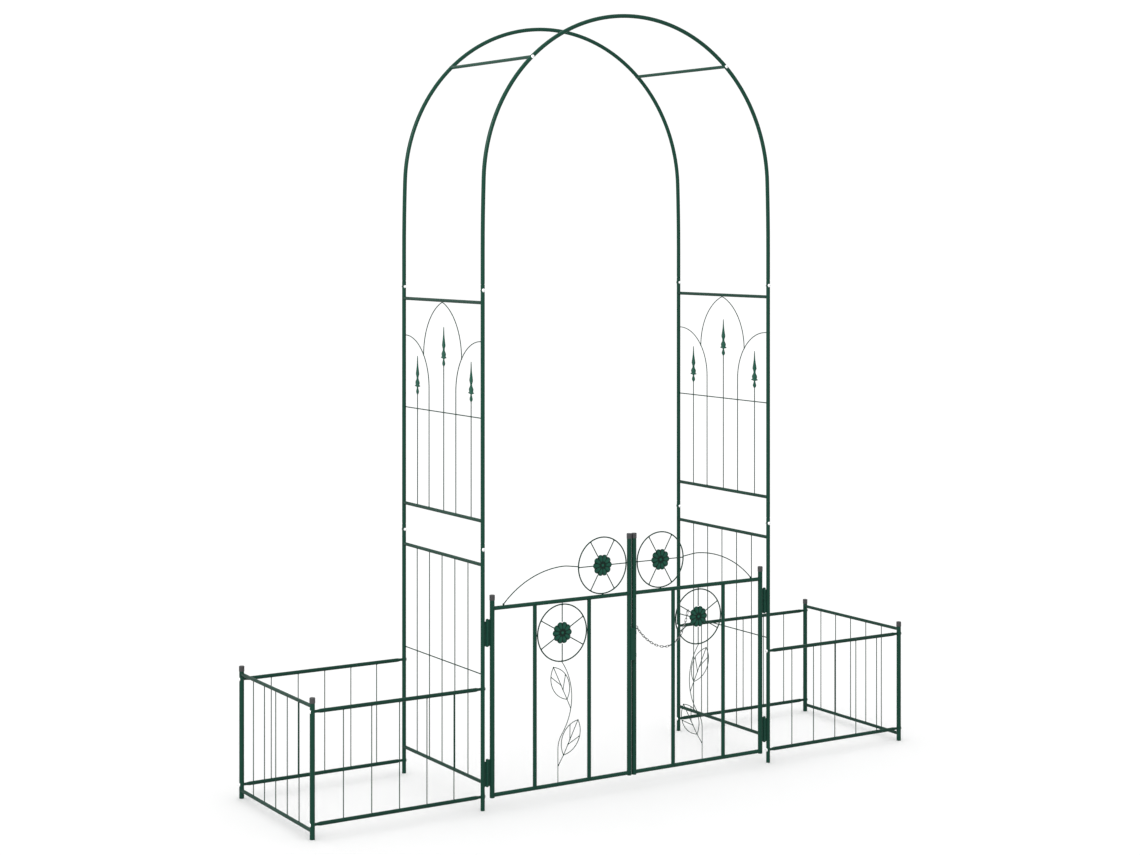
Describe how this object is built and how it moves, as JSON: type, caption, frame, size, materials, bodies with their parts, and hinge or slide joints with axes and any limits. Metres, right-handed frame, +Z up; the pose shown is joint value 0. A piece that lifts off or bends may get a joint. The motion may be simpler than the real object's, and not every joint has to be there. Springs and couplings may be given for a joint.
{
  "type": "metal trellis arch",
  "caption": "Garden arch of powder-coated steel tube with wire side trellises, an open planter frame at each side and a low double gate that swings on knuckle hinges.",
  "frame": {"origin": "on the ground, in the middle of the arch: centre of the bounding box's bottom face", "axes": "+X across the arch from left to right as seen from the gate's side, +Y through the arch from the gate to the back, +Z up"},
  "size_m": [2.062, 0.5049, 2.2674],
  "materials": {
    "green_tube": "dark green powder coat on steel tube, satin, with a slight orange-peel texture",
    "green_wire": "dark green powder coat on steel wire and thin tube, satin, thicker at the welds",
    "green_casting": "dark green powder coat on castings and hinges, satin, slightly pitted",
    "grey_cap": "dark grey moulded plastic, finely grained",
    "zinc_bolt": "bright zinc plating",
    "dull_zinc": "dull zinc-plated steel wire"
  },
  "bodies": {
    "arch": {"left_front_lower_leg": "green_tube", "left_back_lower_leg": "green_tube", "right_front_lower_leg": "green_tube", "right_back_lower_leg": "green_tube", "left_front_upper_leg": "green_tube", "left_back_upper_leg": "green_tube", "right_front_upper_leg": "green_tube", "right_back_upper_leg": "green_tube", "left_front_hoop_shoulder": "green_tube", "left_back_hoop_shoulder": "green_tube", "right_front_hoop_shoulder": "green_tube", "right_back_hoop_shoulder": "green_tube", "front_hoop_crown": "green_tube", "back_hoop_crown": "green_tube", "left_stay_bar": "green_tube", "right_stay_bar": "green_tube", "left_lower_side_panel": "green_wire", "right_lower_side_panel": "green_wire", "left_upper_side_panel": "green_wire", "right_upper_side_panel": "green_wire", "left_spear_finials": "green_casting", "right_spear_finials": "green_casting", "left_front_planter_side": "green_wire", "left_back_planter_side": "green_wire", "right_front_planter_side": "green_wire", "right_back_planter_side": "green_wire", "left_planter_posts": "green_tube", "right_planter_posts": "green_tube", "left_planter_end_grille": "green_wire", "right_planter_end_grille": "green_wire", "planter_post_caps": "grey_cap", "leg_joint_bolts": "zinc_bolt", "leg_joint_nuts": "zinc_bolt", "stay_bolts": "zinc_bolt", "planter_bolts": "zinc_bolt", "left_hinge_leg_leaves": "green_casting", "right_hinge_leg_leaves": "green_casting", "left_hinge_pins": "green_casting", "right_hinge_pins": "green_casting"},
    "left_gate": {"left_hinge_gate_leaves": "green_casting", "left_gate_hinge_stile": "green_tube", "left_gate_latch_stile": "green_tube", "left_gate_grille": "green_tube", "left_gate_flower_rings": "green_wire", "left_gate_flowers": "green_casting", "left_gate_vine": "green_wire", "left_gate_stile_caps": "grey_cap"},
    "right_gate": {"right_hinge_gate_leaves": "green_casting", "right_gate_hinge_stile": "green_tube", "right_gate_latch_stile": "green_tube", "right_gate_grille": "green_tube", "right_gate_flower_rings": "green_wire", "right_gate_flowers": "green_casting", "right_gate_vine": "green_wire", "right_gate_stile_caps": "grey_cap", "gate_stop_plate": "green_casting", "gate_chain_eye": "green_wire", "gate_chain": "dull_zinc", "gate_chain_hook": "dull_zinc"}
  },
  "joints": [
    {"name": "left_gate_hinge", "type": "hinge", "parent": "arch", "child": "left_gate", "pos_m": [-0.48525, -0.243, 0.3], "axis": [0, 0, 1], "range_deg": [0, 85]},
    {"name": "right_gate_hinge", "type": "hinge", "parent": "arch", "child": "right_gate", "pos_m": [0.48525, -0.243, 0.3], "axis": [0, 0, 1], "range_deg": [0, 105]}
  ]
}
